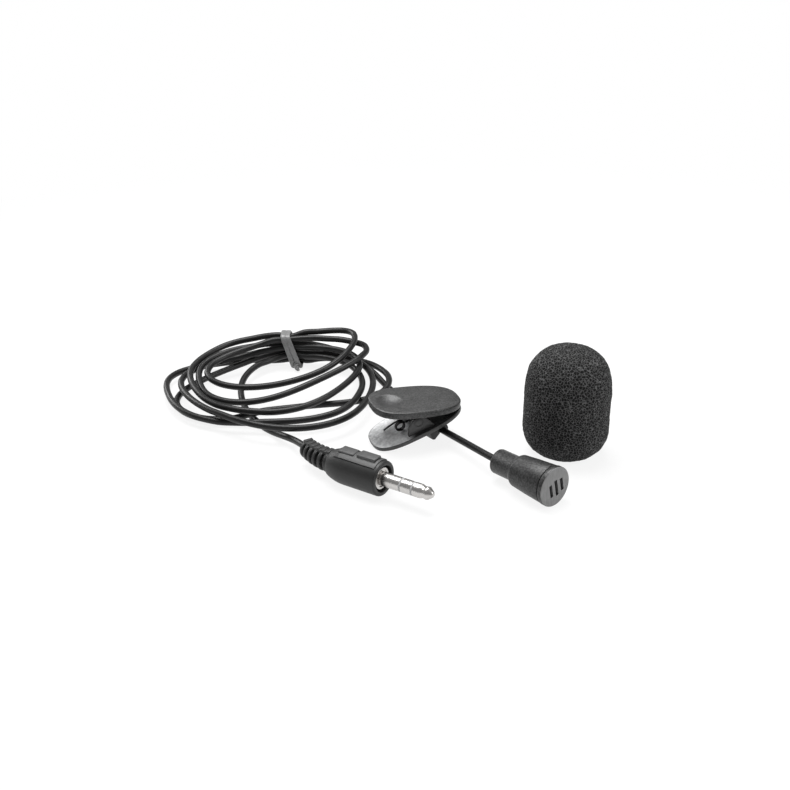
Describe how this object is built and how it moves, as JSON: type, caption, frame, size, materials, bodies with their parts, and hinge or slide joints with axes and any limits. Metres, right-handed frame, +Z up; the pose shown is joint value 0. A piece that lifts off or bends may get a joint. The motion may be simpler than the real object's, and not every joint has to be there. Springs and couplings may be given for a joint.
{
  "type": "lavalier microphone",
  "caption": "Lavalier microphone set: metal capsule head, spring tie clip on the cord, tied cord coil, straight jack plug and separate foam windscreen.",
  "frame": {"origin": "on the table, under the middle of the head, clip and windscreen", "axes": "+Z up from the table; +X from the plug's side to the windscreen's side; +Y away from the head's face, towards the tied coil"},
  "size_m": [0.1197, 0.0866, 0.0287],
  "materials": {
    "gunmetal": "satin",
    "clip_steel": "satin",
    "spring_wire": "satin",
    "mesh": "matte",
    "capsule_can": "satin",
    "boot_rubber": "matte",
    "wire_insulation": "matte",
    "ferrule": "satin",
    "cord_jacket": "satin",
    "tie_plastic": "satin",
    "plug_plastic": "satin",
    "nickel": "polished",
    "insulator": "matte",
    "contact": "satin",
    "foam": "matte"
  },
  "bodies": {
    "head": {"capsule_housing": "gunmetal", "front_cap": "gunmetal", "dust_mesh": "mesh", "electret_capsule": "capsule_can", "capsule_boot": "boot_rubber", "signal_wires": "wire_insulation", "cord_ferrule": "ferrule", "cord_grommet": "boot_rubber", "lead_end": "cord_jacket", "mic_lead": "cord_jacket", "clip_lead": "cord_jacket", "cord_coil": "cord_jacket", "plug_lead": "cord_jacket", "cable_tie": "tie_plastic", "plug_grip": "plug_plastic", "strain_relief": "plug_plastic", "plug_sleeve": "nickel", "plug_ring": "nickel", "plug_insulators": "insulator", "plug_tip": "nickel", "plug_terminals": "contact"},
    "clip_base": {"lower_jaw": "clip_steel", "hinge_pin": "clip_steel", "torsion_spring": "spring_wire"},
    "clip_lever": {"upper_jaw": "clip_steel"},
    "windscreen": {"foam_windscreen": "foam"}
  },
  "joints": [
    {"name": "clip_slide", "type": "slide", "parent": "head", "child": "clip_base", "axis": [0.5624, -0.8248, 0.0585], "range_m": [0, 0.012]},
    {"name": "clip_open", "type": "hinge", "parent": "clip_base", "child": "clip_lever", "pos_m": [-0.0194, 0.0138, 0.00785], "axis": [0.3608, -0.9303, -0.0663], "range_deg": [0, 20], "stiffness_Nm_per_rad": 0.05, "springref_deg": -28.65, "deforming": ["torsion_spring"]},
    {"name": "windscreen_lift", "type": "slide", "parent": "head", "child": "windscreen", "axis": [0, 0, 1], "range_m": [0, 0.03]}
  ]
}
